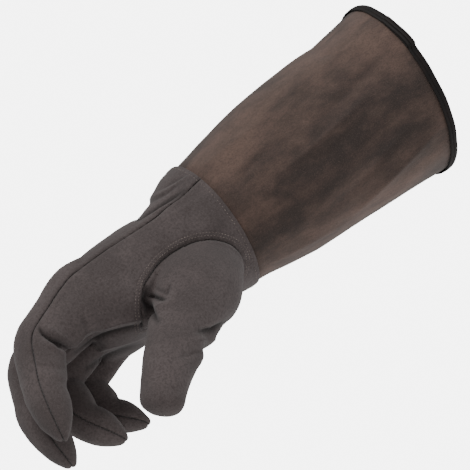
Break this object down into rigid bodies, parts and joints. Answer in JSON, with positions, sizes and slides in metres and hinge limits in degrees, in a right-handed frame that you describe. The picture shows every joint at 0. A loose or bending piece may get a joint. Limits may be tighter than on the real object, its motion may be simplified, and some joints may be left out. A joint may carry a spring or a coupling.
{
  "type": "gardening gauntlet glove",
  "caption": "Right-hand waterproof gardening glove with a long suede gauntlet, worn shape, open at the cuff, fingers half curled, with side seams and a bound cuff edge",
  "frame": {"origin": "the middle of the wrist seam, where the arm passes from the gauntlet into the hand", "axes": "+X along the forearm and out of the cuff, +Z out of the back of the hand, -Y the thumb side; the fingers reach towards -X and curl down towards -Z"},
  "size_m": [0.3314, 0.1161, 0.1555],
  "materials": {
    "hand_leather": "matt grey-brown nubuck",
    "suede": "mottled brown suede",
    "tape": "near-black woven tape"
  },
  "bodies": {
    "root": {"back_panel": "hand_leather", "palm_panel": "hand_leather", "thumb_panel": "hand_leather", "gauntlet": "suede", "cuff_binding": "tape"}
  },
  "joints": []
}
